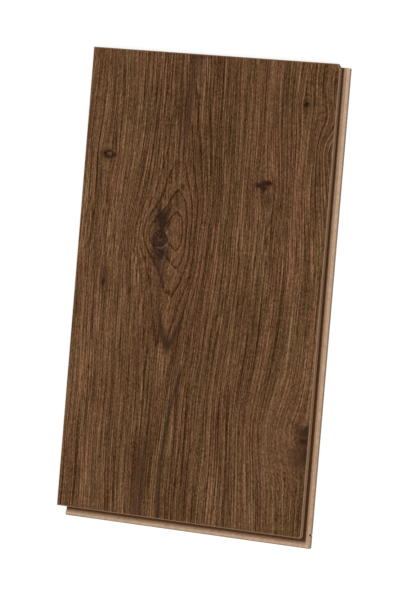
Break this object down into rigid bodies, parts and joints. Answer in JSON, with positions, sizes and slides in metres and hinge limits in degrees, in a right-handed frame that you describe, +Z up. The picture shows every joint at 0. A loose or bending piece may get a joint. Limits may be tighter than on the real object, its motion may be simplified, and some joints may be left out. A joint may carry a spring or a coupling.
{
  "type": "click floor plank",
  "caption": "Flat click-lock floor plank: dark wood-pattern vinyl face with a bevelled rim on a tan fibre core, milled with locking lips along adjacent edges and a tongue and hook opposite.",
  "frame": {"origin": "on the underside, below the centre of the rectangle between the joint lines", "axes": "+X across the plank towards the long lip, +Y along the plank away from the end lip, +Z up out of the walking face"},
  "size_m": [0.2482, 0.408, 0.009],
  "materials": {
    "fibre_core": "raw milled wood-fibre board, matte",
    "wood_print_vinyl": "dark brown wood print under a matte wear layer with fine grain"
  },
  "bodies": {
    "root": {"core_board": "fibre_core", "decor_layer": "wood_print_vinyl"}
  },
  "joints": []
}
